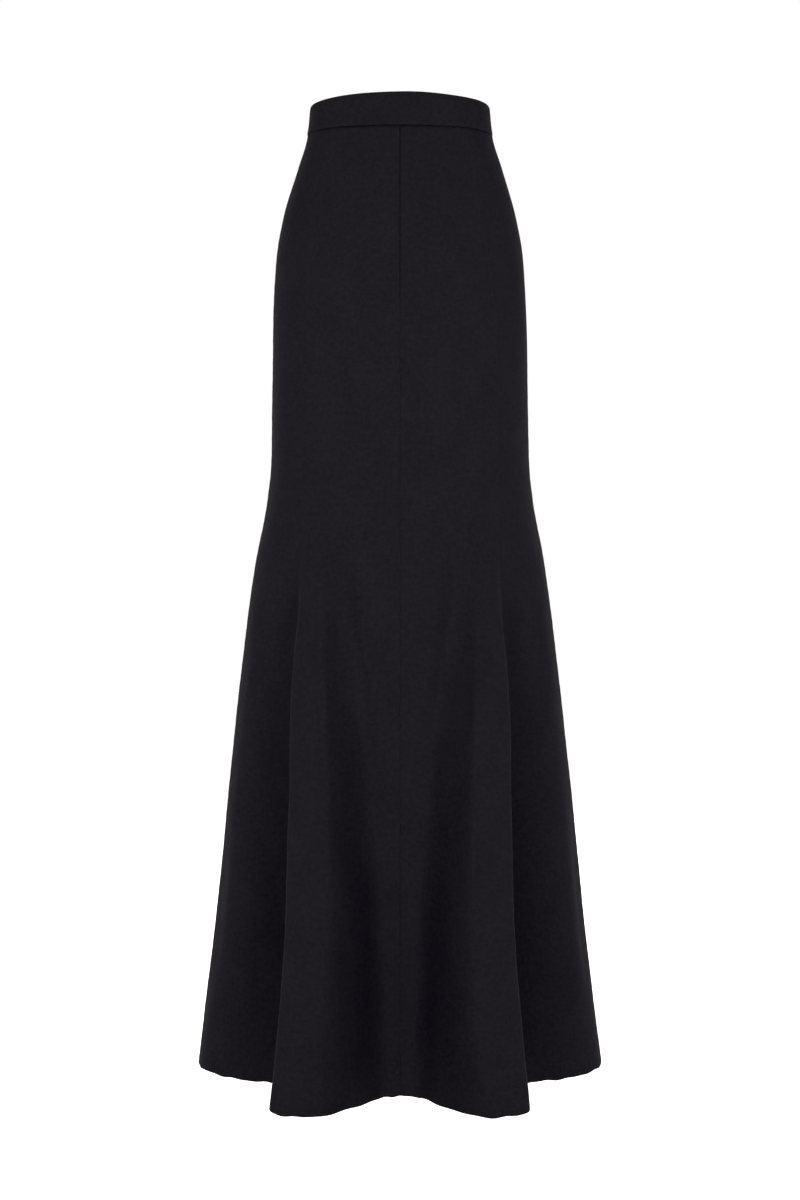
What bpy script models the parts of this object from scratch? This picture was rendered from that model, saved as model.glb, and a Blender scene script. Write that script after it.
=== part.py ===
"""Mermaid fishtail skirt: eight gores, a firm waistband and a concealed zip at the centre back.

Metres, +Z up, the front faces -Y, and left means the wearer's left, which is +X. The origin is the
middle of the waist opening, halfway up the waistband. The skirt is open at the waist and at the hem.
Every cloth piece is an open grid laid on one surface, the form that the worn skirt takes, and gets
its wall from a Solidify modifier.
"""
import math

import bmesh
import bpy
from mathutils import Matrix, Vector

MM = 0.001

# Driving sizes
BAND_TOP = 20.5 * MM  # the waistband's upper edge at the centre front, above the origin
BAND_SIDE_DIP = 5.5 * MM  # how much lower that edge lies at the sides
WAIST_SEAM = -20.0 * MM
HEM = -1174.5 * MM
CLOTH = 1.5 * MM  # one layer of heavy crepe
BAND_WALL = 3.0 * MM  # two layers and a stiffener
BAND_PROUD = 0.8 * MM  # how far the band stands out from the gores below it
SEAM_GAP = 0.4 * MM  # between two gores, at the outside
EDGE_GAP = 0.3 * MM
SEAM_STRIP = 2.0 * MM  # the narrow first row of faces beside a seam

# Mesh density
GORE_COLUMNS = 10  # wide columns in a gore, between its two seam strips
CURVE_STEPS = 90  # fine steps in which a section is measured
BAND_SEGMENTS = 84

# The section of the body of the skirt at each height: a superellipse round the origin's axis.
SECTION_COLUMNS = ("z_mm", "half_width_mm", "front_mm", "back_mm", "squareness")
SECTIONS = (
    (20.5, 109.3, 86.0, 84.0, 2.50),
    (-20.0, 113.6, 89.0, 88.0, 2.45),
    (-60.0, 125.8, 95.0, 97.0, 2.35),
    (-120.0, 143.5, 102.0, 110.0, 2.25),
    (-170.0, 152.0, 106.0, 119.0, 2.20),
    (-245.0, 156.3, 108.5, 123.0, 2.15),
    (-345.0, 158.5, 109.0, 118.0, 2.10),
    (-420.0, 160.0, 111.0, 116.0, 2.10),
    (-470.0, 165.2, 115.0, 120.0, 2.05),
    (-545.0, 179.5, 123.0, 130.0, 2.00),
    (-655.0, 194.4, 133.0, 143.0, 2.00),
    (-780.0, 209.0, 142.0, 154.0, 2.00),
    (-980.0, 229.8, 150.5, 166.0, 2.00),
    (-1174.5, 253.3, 157.5, 176.0, 2.00),
)

# The flute that falls from each princess seam: how far it stands out, and the angles, from the
# centre front or the centre back, between which it rises, stays full and falls.
FLUTE_COLUMNS = ("z_mm", "gain_mm", "inner_foot", "inner_crest", "outer_crest", "outer_foot")
FRONT_FLUTE = (
    (-470.0, 0.0, 28.0, 41.0, 47.0, 60.0),
    (-600.0, 18.0, 23.5, 35.0, 45.0, 54.5),
    (-700.0, 36.0, 16.5, 27.5, 41.8, 51.0),
    (-820.0, 56.0, 11.0, 23.5, 37.2, 47.0),
    (-1000.0, 81.0, 4.5, 22.0, 33.2, 45.0),
    (-1174.5, 102.0, 2.0, 24.5, 32.5, 45.2),
)
BACK_FLUTE = (
    (-470.0, 0.0, 26.0, 42.0, 47.0, 61.0),
    (-600.0, 10.0, 20.0, 38.0, 44.0, 57.0),
    (-820.0, 40.0, 9.0, 28.5, 37.5, 51.0),
    (-1000.0, 65.0, 5.0, 26.0, 34.5, 49.0),
    (-1174.5, 86.0, 2.5, 25.5, 33.0, 48.5),
)
# The flutes rise slowly at first from the middle of the skirt: the power of their rise.
FLUTE_LEAN = 1.4
# The hollow between that flute and the side, which leaves the side seam on a rounded ridge.
HOLLOW_COLUMNS = ("z_mm", "depth_mm", "middle", "half_width")
HOLLOW = (
    (-505.0, 0.0, 59.0, 20.0),
    (-600.0, 7.0, 58.0, 20.0),
    (-700.0, 15.0, 56.0, 21.0),
    (-820.0, 22.0, 54.0, 23.0),
    (-1000.0, 29.0, 52.0, 25.0),
    (-1174.5, 25.0, 56.0, 29.0),
)
# Where the princess seams run, as angles from the centre front and from the centre back.
PRINCESS_COLUMNS = ("z_mm", "front", "back")
PRINCESS_SEAMS = (
    (20.5, 47.0, 46.0),
    (-60.0, 48.0, 48.0),
    (-120.0, 49.5, 50.0),
    (-170.0, 52.5, 53.0),
    (-245.0, 55.5, 55.0),
    (-345.0, 57.5, 56.5),
    (-470.0, 56.5, 56.0),
    (-560.0, 53.5, 54.0),
    (-655.0, 51.0, 52.0),
    (-820.0, 44.0, 45.0),
    (-1000.0, 38.5, 40.0),
    (-1174.5, 36.3, 38.0),
)
GORE_ROWS_MM = (-20.3, -50, -85, -120, -170, -245, -345, -420, -450, -480, -520, -570, -630,
                -700, -775, -850, -925, -1000, -1070, -1125, -1174.5)

# The concealed zip
TAPE_WIDTH = 11.0 * MM
TAPE_WALL = 0.8 * MM
TAPE_DEPTH = 2.9 * MM  # from the gores' outer face to the tape's outer face
TAPE_TOP = 12.0 * MM
TAPE_BOTTOM = -205.0 * MM
TAPE_ROWS = 9
ZIP_SLIT = 2.0 * MM  # between the band's two ends, and between the two tapes
SLIDER_HEIGHT = 4.0 * MM  # the tab's hinge above the origin
SLIDER_BODY = Vector((8.0, 2.6, 11.0)) * MM
LUG_WIDTH = 1.2 * MM
LUG_OUTER = 2.2 * MM
LUG_HOLE = 1.1 * MM
TAB_THICKNESS = 1.0 * MM
TAB_CLEARANCE = 0.4 * MM
TAB_LENGTH = 19.0 * MM
TAB_EYE = Vector((1.5, 6.0)) * MM  # half the eye's width, and its length
TAB_TOP_HALF = 2.6 * MM
TAB_END_RADIUS = 3.2 * MM

CREPE = ("black_crepe", (0.0125, 0.0105, 0.0150), 0.85, 0.0)
TAPE = ("black_zip_tape", (0.0090, 0.0080, 0.0105), 0.75, 0.0)
METAL = ("black_zip_metal", (0.0300, 0.0290, 0.0310), 0.35, 0.9)


def monotone(table, columns, name):
    """A smooth curve through one column of a table by height, with no overshoot between its rows."""
    column = columns.index(name)
    rows = sorted(table)
    heights = [row[0] * MM for row in rows]
    values = [row[column] for row in rows]
    steps = [b - a for a, b in zip(heights, heights[1:])]
    slopes = [(b - a) / step for a, b, step in zip(values, values[1:], steps)]
    tangents = [slopes[0]]
    for before, after, left, right in zip(slopes, slopes[1:], steps, steps[1:]):
        if before * after <= 0:
            tangents.append(0.0)
            continue
        near, far = 2 * right + left, right + 2 * left
        tangents.append((near + far) / (near / before + far / after))
    tangents.append(slopes[-1])

    def curve(z):
        z = min(max(z, heights[0]), heights[-1])
        i = max(k for k in range(len(steps)) if heights[k] <= z or k == 0)
        t = (z - heights[i]) / steps[i]
        return (
            (1 + 2 * t) * (1 - t) ** 2 * values[i]
            + t * (1 - t) ** 2 * steps[i] * tangents[i]
            + t * t * (3 - 2 * t) * values[i + 1]
            + t * t * (t - 1) * steps[i] * tangents[i + 1]
        )

    return curve


def curves_of(table, columns):
    return {name: monotone(table, columns, name) for name in columns[1:]}


BODY = curves_of(SECTIONS, SECTION_COLUMNS)
FLUTES = {"front": curves_of(FRONT_FLUTE, FLUTE_COLUMNS), "back": curves_of(BACK_FLUTE, FLUTE_COLUMNS)}
VALLEY = curves_of(HOLLOW, HOLLOW_COLUMNS)
PRINCESS = curves_of(PRINCESS_SEAMS, PRINCESS_COLUMNS)


def smooth_step(t):
    t = min(max(t, 0.0), 1.0)
    return t * t * (3 - 2 * t)


def radius(angle, z):
    """The form's radius in metres at an angle in degrees from the centre front, 0 to 180."""
    facing = "front" if angle <= 90 else "back"
    off_centre = angle if angle <= 90 else 180 - angle
    power = BODY["squareness"](z)
    across = math.sin(math.radians(off_centre)) / BODY["half_width_mm"](z)
    along = math.cos(math.radians(off_centre)) / BODY[facing + "_mm"](z)
    body = (across**power + along**power) ** (-1 / power)
    flute = FLUTES[facing]
    foot, crest = flute["inner_foot"](z), flute["inner_crest"](z)
    rise = smooth_step((off_centre - foot) / (crest - foot)) ** FLUTE_LEAN
    crest, foot = flute["outer_crest"](z), flute["outer_foot"](z)
    fall = smooth_step((off_centre - crest) / (foot - crest))
    away = abs(off_centre - VALLEY["middle"](z)) / VALLEY["half_width"](z)
    hollow = VALLEY["depth_mm"](z) * smooth_step(1 - away)
    return (body + flute["gain_mm"](z) * rise * (1 - fall) - hollow) * MM


def form(angle, z, proud=0.0):
    """A point on the form, moved out from the axis by proud."""
    reach = radius(angle, z) + proud
    turn = math.radians(angle)
    return Vector((reach * math.sin(turn), -reach * math.cos(turn), z))


def arc_points(start, end, z, distances_of):
    """Points along a section from one angle to another, at the distances that distances_of gives."""
    fine = [form(start + (end - start) * k / CURVE_STEPS, z) for k in range(CURVE_STEPS + 1)]
    along = [0.0]
    for a, b in zip(fine, fine[1:]):
        along.append(along[-1] + (b - a).length)
    points = []
    for distance in distances_of(along[-1]):
        k = max(i for i in range(CURVE_STEPS) if along[i] <= distance)
        share = (distance - along[k]) / (along[k + 1] - along[k])
        points.append(fine[k].lerp(fine[k + 1], share))
    return points


def gore_distances(length):
    """Across a gore: half a gap in from each seam, a narrow strip, and even columns between."""
    first = SEAM_GAP / 2
    last = length - first
    inner, outer = first + SEAM_STRIP, last - SEAM_STRIP
    middle = [inner + (outer - inner) * k / GORE_COLUMNS for k in range(GORE_COLUMNS + 1)]
    return [first, *middle, last]


def new_collection(name):
    collection = bpy.data.collections.new(name)
    bpy.context.scene.collection.children.link(collection)
    return collection


def material(recipe):
    name, colour, roughness, metallic = recipe
    made = bpy.data.materials.get(name) or bpy.data.materials.new(name)
    made.use_nodes = True
    shader = made.node_tree.nodes["Principled BSDF"]
    shader.inputs["Base Color"].default_value = (*colour, 1.0)
    shader.inputs["Roughness"].default_value = roughness
    shader.inputs["Metallic"].default_value = metallic
    return made


def add_object(name, mesh, recipe, collection):
    obj = bpy.data.objects.new(name, mesh)
    mesh.materials.append(material(recipe))
    collection.objects.link(obj)
    return obj


def sheet_object(name, rows, recipe, wall, collection, mirrored=False):
    """An open grid of points, a row for each height from the top down, with its wall built inwards."""
    across, down = len(rows[0]) - 1, len(rows) - 1
    bm = bmesh.new()
    bmesh.ops.create_grid(bm, x_segments=across, y_segments=down, size=0.5)
    for vertex in bm.verts:
        column = round((vertex.co.x + 0.5) * across)
        row = round((0.5 - vertex.co.y) * down)
        vertex.co = rows[row][column]
    # Counted this way round, angles grow towards +X in front, so the grid's faces point out.
    if mirrored:
        bmesh.ops.scale(bm, vec=(-1, 1, 1), verts=bm.verts)
        bmesh.ops.reverse_faces(bm, faces=bm.faces)
    mesh = bpy.data.meshes.new(name)
    bm.to_mesh(mesh)
    bm.free()
    mesh.shade_smooth()
    obj = add_object(name, mesh, recipe, collection)
    solidify = obj.modifiers.new("wall", "SOLIDIFY")
    solidify.thickness = wall
    solidify.offset = -1
    solidify.use_even_offset = False
    return obj


def gore(name, from_seam, to_seam, collection, mirrored):
    rows = []
    for z_mm in GORE_ROWS_MM:
        z = z_mm * MM
        rows.append(arc_points(from_seam(z), to_seam(z), z, gore_distances))
    return sheet_object(name, rows, CREPE, CLOTH, collection, mirrored)


def band_edge(angle):
    """The height of the waistband's upper edge."""
    return BAND_TOP - BAND_SIDE_DIP * math.sin(math.radians(angle)) ** 2


def waistband(collection):
    """One strip from the zip round the front and back to the zip."""
    end_angle = 180 - math.degrees(math.asin(ZIP_SLIT / 2 / radius(180, 0)))
    rows = []
    for share in (1.0, 0.5, 0.0):
        row = []
        for k in range(BAND_SEGMENTS + 1):
            turn = -end_angle + 2 * end_angle * k / BAND_SEGMENTS
            z = WAIST_SEAM + (band_edge(turn) - WAIST_SEAM) * share
            point = form(abs(turn), z, BAND_PROUD)
            row.append(Vector((math.copysign(point.x, turn), point.y, point.z)))
        rows.append(row)
    return sheet_object("waistband", rows, CREPE, BAND_WALL, collection)


def zip_tape(name, collection, mirrored):
    rows = []
    for step in range(TAPE_ROWS):
        z = TAPE_TOP + (TAPE_BOTTOM - TAPE_TOP) * step / (TAPE_ROWS - 1)
        row = []
        for x in (ZIP_SLIT / 2 + TAPE_WIDTH, ZIP_SLIT / 2 + TAPE_WIDTH / 2, ZIP_SLIT / 2):
            angle = 180 - math.degrees(math.asin(x / radius(180, z)))
            row.append(form(angle, z, -TAPE_DEPTH))
        rows.append(row)
    return sheet_object(name, rows, TAPE, TAPE_WALL, collection, mirrored)


def band_slope():
    """The lean of the band's outer face at the centre back, from the tab's hinge to its end."""
    low = SLIDER_HEIGHT - TAB_LENGTH
    return math.atan((radius(180, low) - radius(180, SLIDER_HEIGHT)) / TAB_LENGTH)


def hinge_point():
    off_band = TAB_CLEARANCE + TAB_THICKNESS / 2
    return Vector((0, radius(180, SLIDER_HEIGHT) + BAND_PROUD + off_band, SLIDER_HEIGHT))


def box_object(name, size, centre, recipe, collection):
    bm = bmesh.new()
    bmesh.ops.create_cube(bm, size=1.0)
    bmesh.ops.scale(bm, vec=size, verts=bm.verts)
    bmesh.ops.translate(bm, vec=centre, verts=bm.verts)
    mesh = bpy.data.meshes.new(name)
    bm.to_mesh(mesh)
    bm.free()
    return add_object(name, mesh, recipe, collection)


def rod_object(name, rod_radius, length, centre, recipe, collection):
    """A round rod along X."""
    bm = bmesh.new()
    bmesh.ops.create_cone(
        bm, cap_ends=True, segments=24, radius1=rod_radius, radius2=rod_radius, depth=length
    )
    bmesh.ops.rotate(bm, matrix=Matrix.Rotation(math.pi / 2, 3, "Y"), verts=bm.verts)
    bmesh.ops.translate(bm, vec=centre, verts=bm.verts)
    mesh = bpy.data.meshes.new(name)
    bm.to_mesh(mesh)
    bm.free()
    return add_object(name, mesh, recipe, collection)


def zip_slider(collection, helpers):
    """The slider's body behind the tapes, its neck through the slit and the lug that holds the tab."""
    hinge = hinge_point()
    tape_inside = radius(180, SLIDER_HEIGHT) - TAPE_DEPTH - TAPE_WALL
    body_y = tape_inside - EDGE_GAP - SLIDER_BODY.y / 2 - SLIDER_BODY.z * math.tan(band_slope()) / 2
    body_at = Vector((0, body_y, SLIDER_HEIGHT))
    slider = box_object("zip_slider", SLIDER_BODY, body_at, METAL, collection)
    neck_depth = hinge.y - body_y - LUG_HOLE - 0.4 * MM
    neck_size = Vector((LUG_WIDTH, neck_depth, 2 * LUG_OUTER))
    neck = box_object("neck", neck_size, body_at + Vector((0, neck_depth / 2, 0)), METAL, helpers)
    lug = rod_object("lug", LUG_OUTER, LUG_WIDTH, hinge, METAL, helpers)
    hole = rod_object("lug_hole", LUG_HOLE, 4 * LUG_WIDTH, hinge, METAL, helpers)
    for helper, operation in ((neck, "UNION"), (lug, "UNION"), (hole, "DIFFERENCE")):
        helper.hide_render = True
        helper.display_type = "WIRE"
        boolean = slider.modifiers.new(helper.name, "BOOLEAN")
        boolean.operation = operation
        boolean.object = helper
    return slider


def arc(centre, arc_radius, from_degrees, to_degrees, steps):
    turns = [from_degrees + (to_degrees - from_degrees) * k / steps for k in range(steps + 1)]
    return [
        (centre[0] + arc_radius * math.cos(math.radians(a)), centre[1] + arc_radius * math.sin(math.radians(a)))
        for a in turns
    ]


def pull_tab(collection):
    """A flat teardrop whose eye passes round the slider's lug. Its origin is on the hinge."""
    corner = 0.4 * MM
    bar = TAB_THICKNESS / 2
    end = (0.0, -TAB_LENGTH + TAB_END_RADIUS)
    outline = [
        *arc((TAB_TOP_HALF - corner, bar - corner), corner, 0, 90, 3),
        *arc((corner - TAB_TOP_HALF, bar - corner), corner, 90, 180, 3),
        *arc(end, TAB_END_RADIUS, 170, 370, 16),
    ]
    eye_half, eye_length = TAB_EYE
    eye = [(eye_half, -bar), (-eye_half, -bar), *arc((0, -eye_length), eye_half, 180, 360, 8)]
    curve = bpy.data.curves.new("zip_pull_tab", "CURVE")
    curve.dimensions = "2D"
    curve.fill_mode = "BOTH"
    curve.extrude = TAB_THICKNESS / 2
    for points in (outline, eye):
        spline = curve.splines.new("POLY")
        spline.points.add(len(points) - 1)
        spline.use_cyclic_u = True
        for place, (x, y) in zip(spline.points, points):
            place.co = (x, y, 0, 1)
    curve.materials.append(material(METAL))
    obj = bpy.data.objects.new("zip_pull_tab", curve)
    collection.objects.link(obj)
    obj.location = hinge_point()
    obj.rotation_euler = (math.pi / 2 + band_slope(), 0, 0)
    return obj


def build():
    for obj in list(bpy.data.objects):
        bpy.data.objects.remove(obj)
    skirt = new_collection("mermaid_fishtail_skirt")
    helpers = new_collection("cutters")
    seams = {
        "centre_front": lambda z: 0.0,
        "princess_front": lambda z: PRINCESS["front"](z),
        "side": lambda z: 90.0,
        "princess_back": lambda z: 180.0 - PRINCESS["back"](z),
        "centre_back": lambda z: 180.0,
    }
    gores = (
        ("front", "centre_front", "princess_front"),
        ("side_front", "princess_front", "side"),
        ("side_back", "side", "princess_back"),
        ("back", "princess_back", "centre_back"),
    )
    for hand, mirrored in (("left", False), ("right", True)):
        for name, first, last in gores:
            gore(f"{name}_{hand}", seams[first], seams[last], skirt, mirrored)
        zip_tape(f"zip_tape_{hand}", skirt, mirrored)
    waistband(skirt)
    zip_slider(skirt, helpers)
    pull_tab(skirt)


build()
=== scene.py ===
"""Looks for the mermaid fishtail skirt: black crepe gores, waistband, concealed zip, studio.

Metres, +Z up, the front faces -Y, left is the wearer's left (+X). Angles are in degrees round the
origin's axis, 0 at the centre front, positive towards the wearer's left, 180 at the centre back.
"""
import math

import bmesh
import bpy
import numpy as np
from mathutils import Matrix, Vector


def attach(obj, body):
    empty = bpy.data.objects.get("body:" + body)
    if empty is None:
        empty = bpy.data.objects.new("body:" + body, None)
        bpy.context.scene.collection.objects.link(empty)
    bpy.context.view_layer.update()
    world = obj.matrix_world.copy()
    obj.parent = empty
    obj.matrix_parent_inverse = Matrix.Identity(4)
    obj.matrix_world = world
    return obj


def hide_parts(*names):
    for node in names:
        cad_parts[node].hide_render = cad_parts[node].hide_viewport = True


MM = 0.001
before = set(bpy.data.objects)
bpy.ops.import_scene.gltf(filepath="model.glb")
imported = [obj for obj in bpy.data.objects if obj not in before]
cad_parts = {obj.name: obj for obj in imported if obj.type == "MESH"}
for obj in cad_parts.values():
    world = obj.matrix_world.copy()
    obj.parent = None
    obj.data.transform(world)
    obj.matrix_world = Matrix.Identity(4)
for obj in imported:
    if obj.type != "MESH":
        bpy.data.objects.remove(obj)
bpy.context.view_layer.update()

# ---------------------------------------------------------------- sizes
WAIST_SEAM = -20.0 * MM
BAND_TOP = 20.5 * MM
BAND_SIDE_DIP = 5.5 * MM
HEM = -1174.5 * MM
CLOTH = 0.9 * MM
TURN_UP = 30.0 * MM  # height of the hem's turn-up inside
STITCH = 2.6 * MM  # length of one stitch
ZIP_SLIT = 2.0 * MM
BAND_GAP = 1.4 * MM  # between the waistband's two ends, where the slider's lug comes through
TAPE_WIDTH = 11.0 * MM
TAPE_DEPTH = 2.9 * MM
TAPE_TOP = 12.0 * MM
TAPE_BOTTOM = -205.0 * MM
TAPE_CUT = (0.011, 0.217)
TAPE_WALL = 0.5 * MM
TEETH_TOP = -9.0 * MM
TEETH_DEPTH = 4.1 * MM  # from the gores' outer face to the middle of a tooth
TOOTH_PITCH = 1.05 * MM
TOOTH_SIZE = Vector((2.9, 1.2, 0.7)) * MM
TOOTH_STAGGER = 0.18  # share of a tooth's width that it stands to its own side
TOOTH_ROUND = 0.16 * MM

BLACK_POINT = 0.0075  # scene light that the view shows as black
FLOOR_GLOW = 0.97  # how strongly the floor glows to the eye
FLOOR_LEVEL = -1.32
FLOOR_REACH = 12

GORE_MIDDLE = 44  # even columns in a gore, between its seams' fine columns
GORE_ROWS = 300
BAND_COLUMNS = 360
BAND_RADIUS = 0.102  # mean, for the waistband's maps
TAPE_ROWS, TAPE_COLUMNS = 120, 12
ROLL_STEP, ROLL_HAND = 0.31, 2.7  # along the roll of cloth, from one gore's place to the next
# Distances from a seam of the fine columns beside it
SEAM_COLUMNS_MM = (0.0, 0.35, 0.7, 1.1, 1.7, 2.6, 4.0, 6.5, 10.0, 14.0)
# Beside a seam, each as a height and how far it reaches: the groove, the roll at its edge, the
# pressed-open allowance under the cloth and the drawn-in pucker; the roll and the allowance also
# have a distance from the seam, and the pucker two lengths of wave.
GROOVE = {"height": -0.6 * MM, "reach": 0.6 * MM}
ROLL = {"height": 0.22 * MM, "reach": 1.6 * MM, "off": 2.4 * MM}
PRESSED = {"height": 0.30 * MM, "reach": 3.0 * MM, "off": 13 * MM}
PUCKER = {"height": 0.16 * MM, "reach": 7 * MM, "short": 11 * MM * 1.7, "long": 47 * MM}
# Round the fold of the hem and up its turn-up: how far in, and how far below the hem's height
HEM_FOLD_MM = (
    (0.30, 0.6), (0.75, 0.85), (1.25, 0.75), (1.6, 0.3), (1.75, -0.6), (1.8, -2.5), (1.85, -10.0),
    (1.85, -20.0), (1.9, -30.0),
)
# The hem's unevenness: height in mm, waves to a radian, phase. Its lift: mm, angle, reach in degrees.
HEM_WAVES = ((0.55, 41, 0.7), (0.4, 67, 2.1), (0.7, 13, 1.1))
HEM_LIFT = (5.0, 36.5, 3.6)
HEM_PRINT = 0.25 * MM  # how far the turn-up's upper edge prints through
TURN_UP_REST = 2.2 * MM  # how far in the turn-up lies, over the seam allowances
# The seam allowance, pressed open inside: distance from the seam and depth under the surface
ALLOWANCE_MM = ((11.0, 2.0), (6.0, 2.0), (1.2, 2.0), (0.35, 1.8), (0.0, 1.3))

# ---------------------------------------------------------------- form tables
SECTION_COLUMNS = ("z_mm", "half_width_mm", "front_mm", "back_mm", "squareness")
SECTIONS = (
    (20.5, 109.3, 86.0, 84.0, 2.50),
    (-20.0, 113.6, 89.0, 88.0, 2.45),
    (-60.0, 125.8, 95.0, 97.0, 2.35),
    (-120.0, 143.5, 102.0, 110.0, 2.25),
    (-170.0, 152.0, 106.0, 119.0, 2.20),
    (-245.0, 156.3, 108.5, 123.0, 2.15),
    (-345.0, 158.5, 109.0, 118.0, 2.10),
    (-420.0, 160.0, 111.0, 116.0, 2.10),
    (-470.0, 165.2, 115.0, 120.0, 2.05),
    (-545.0, 179.5, 123.0, 130.0, 2.00),
    (-655.0, 194.4, 133.0, 143.0, 2.00),
    (-780.0, 209.0, 142.0, 154.0, 2.00),
    (-980.0, 229.8, 150.5, 166.0, 2.00),
    (-1174.5, 253.3, 157.5, 176.0, 2.00),
)
FLUTE_COLUMNS = ("z_mm", "gain_mm", "inner_foot", "inner_crest", "outer_crest", "outer_foot")
FRONT_FLUTE = (
    (-470.0, 0.0, 28.0, 41.0, 47.0, 60.0),
    (-600.0, 18.0, 23.5, 35.0, 45.0, 54.5),
    (-700.0, 36.0, 16.5, 27.5, 41.8, 51.0),
    (-820.0, 56.0, 11.0, 23.5, 37.2, 47.0),
    (-1000.0, 81.0, 4.5, 22.0, 33.2, 45.0),
    (-1174.5, 102.0, 2.0, 24.5, 32.5, 45.2),
)
BACK_FLUTE = (
    (-470.0, 0.0, 26.0, 42.0, 47.0, 61.0),
    (-600.0, 10.0, 20.0, 38.0, 44.0, 57.0),
    (-820.0, 40.0, 9.0, 28.5, 37.5, 51.0),
    (-1000.0, 65.0, 5.0, 26.0, 34.5, 49.0),
    (-1174.5, 86.0, 2.5, 25.5, 33.0, 48.5),
)
# The flutes rise slowly at first from the middle of the skirt: the power of their rise, and how
# many degrees it starts before the table's foot and ends past its crest.
FLUTE_LEAN = 1.4
EARLY_FOOT, LATE_CREST = 1.0, 2.5
HOLLOW_COLUMNS = ("z_mm", "depth_mm", "middle", "half_width")
HOLLOW = (
    (-505.0, 0.0, 59.0, 20.0),
    (-600.0, 7.0, 58.0, 20.0),
    (-700.0, 15.0, 56.0, 21.0),
    (-820.0, 22.0, 54.0, 23.0),
    (-1000.0, 29.0, 52.0, 25.0),
    (-1174.5, 25.0, 56.0, 29.0),
)
PRINCESS_COLUMNS = ("z_mm", "front", "back")
PRINCESS_SEAMS = (
    (20.5, 47.0, 46.0),
    (-60.0, 48.0, 48.0),
    (-120.0, 49.5, 50.0),
    (-170.0, 52.5, 53.0),
    (-245.0, 55.5, 55.0),
    (-345.0, 57.5, 56.5),
    (-470.0, 56.5, 56.0),
    (-560.0, 53.5, 54.0),
    (-655.0, 51.0, 52.0),
    (-820.0, 44.0, 45.0),
    (-1000.0, 38.5, 40.0),
    (-1174.5, 36.3, 38.0),
)
# Soft creases, given one by one: from a place high up to a place lower down, how wide (mm) and how
# deep (mm, a ridge is negative) each is where it is deepest.
CREASE_COLUMNS = ("top_angle", "top_z", "low_angle", "low_z", "half_width", "depth")
CREASE_FADE_IN, CREASE_FADE_OUT = 0.45, 0.35  # shares of a crease's length
CREASES = (
    # front, the drags that run down into the flutes' inner feet
    (36.0, -480.0, 20.0, -800.0, 16.0, 6.6),
    (-36.5, -485.0, -20.5, -795.0, 16.0, 6.2),
    (28.0, -620.0, 16.0, -960.0, 14.0, 4.8),
    (-27.5, -625.0, -15.6, -950.0, 14.0, 5.2),
    (47.0, -540.0, 35.0, -840.0, 17.0, -2.2),
    (-47.5, -550.0, -35.5, -830.0, 17.0, -2.0),
    # front, from the hips towards the knees
    (50.0, -150.0, 44.0, -330.0, 20.0, 0.9),
    (-50.0, -160.0, -45.0, -320.0, 20.0, 0.8),
    (14.0, -330.0, 30.0, -470.0, 22.0, 0.8),
    (-15.0, -320.0, -31.0, -480.0, 22.0, 0.8),
    # sides
    (66.0, -120.0, 70.0, -300.0, 16.0, 1.2),
    (-66.0, -115.0, -71.0, -290.0, 16.0, 1.1),
    (77.0, -470.0, 70.0, -720.0, 18.0, 1.5),
    (-78.0, -480.0, -70.0, -700.0, 18.0, 1.4),
    (84.0, -800.0, 80.0, -1120.0, 16.0, 1.8),
    (-83.0, -820.0, -79.0, -1100.0, 16.0, 1.6),
    # back
    (140.0, -525.0, 155.0, -720.0, 14.0, 2.3),
    (-141.0, -530.0, -156.0, -735.0, 14.0, 2.5),
    (152.0, -700.0, 165.0, -900.0, 13.0, 2.8),
    (-153.0, -690.0, -166.0, -885.0, 13.0, 2.6),
    (168.0, -240.0, 150.0, -330.0, 20.0, 1.2),
    (-167.0, -250.0, -149.0, -345.0, 20.0, 1.3),
    (112.0, -470.0, 108.0, -700.0, 20.0, 1.3),
    (-113.0, -480.0, -108.0, -690.0, 20.0, 1.4),
)


def monotone(table, columns, name):
    """A smooth curve through one column of a table by height, with no overshoot between rows."""
    column = columns.index(name)
    rows = sorted(table)
    heights = np.array([row[0] * MM for row in rows])
    values = np.array([row[column] for row in rows])
    steps = np.diff(heights)
    slopes = np.diff(values) / steps
    tangents = np.zeros(len(rows))
    tangents[0], tangents[-1] = slopes[0], slopes[-1]
    for i in range(1, len(rows) - 1):
        if slopes[i - 1] * slopes[i] > 0:
            near, far = 2 * steps[i] + steps[i - 1], steps[i] + 2 * steps[i - 1]
            tangents[i] = (near + far) / (near / slopes[i - 1] + far / slopes[i])

    def curve(z):
        z = np.clip(z, heights[0], heights[-1])
        i = np.clip(np.searchsorted(heights, z, side="right") - 1, 0, len(steps) - 1)
        t = (z - heights[i]) / steps[i]
        return (
            (1 + 2 * t) * (1 - t) ** 2 * values[i]
            + t * (1 - t) ** 2 * steps[i] * tangents[i]
            + t * t * (3 - 2 * t) * values[i + 1]
            + t * t * (t - 1) * steps[i] * tangents[i + 1]
        )

    return curve


def curves_of(table, columns):
    return {name: monotone(table, columns, name) for name in columns[1:]}


BODY = curves_of(SECTIONS, SECTION_COLUMNS)
FLUTES = {"front": curves_of(FRONT_FLUTE, FLUTE_COLUMNS), "back": curves_of(BACK_FLUTE, FLUTE_COLUMNS)}
VALLEY = curves_of(HOLLOW, HOLLOW_COLUMNS)
PRINCESS = curves_of(PRINCESS_SEAMS, PRINCESS_COLUMNS)


def smooth_step(t):
    t = np.clip(t, 0.0, 1.0)
    return t * t * (3 - 2 * t)


def softer_step(t):
    """As smooth_step, but its ends don't show as lines where light glances off the cloth."""
    t = np.clip(t, 0.0, 1.0)
    return t * t * t * (t * (6 * t - 15) + 10)


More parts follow.
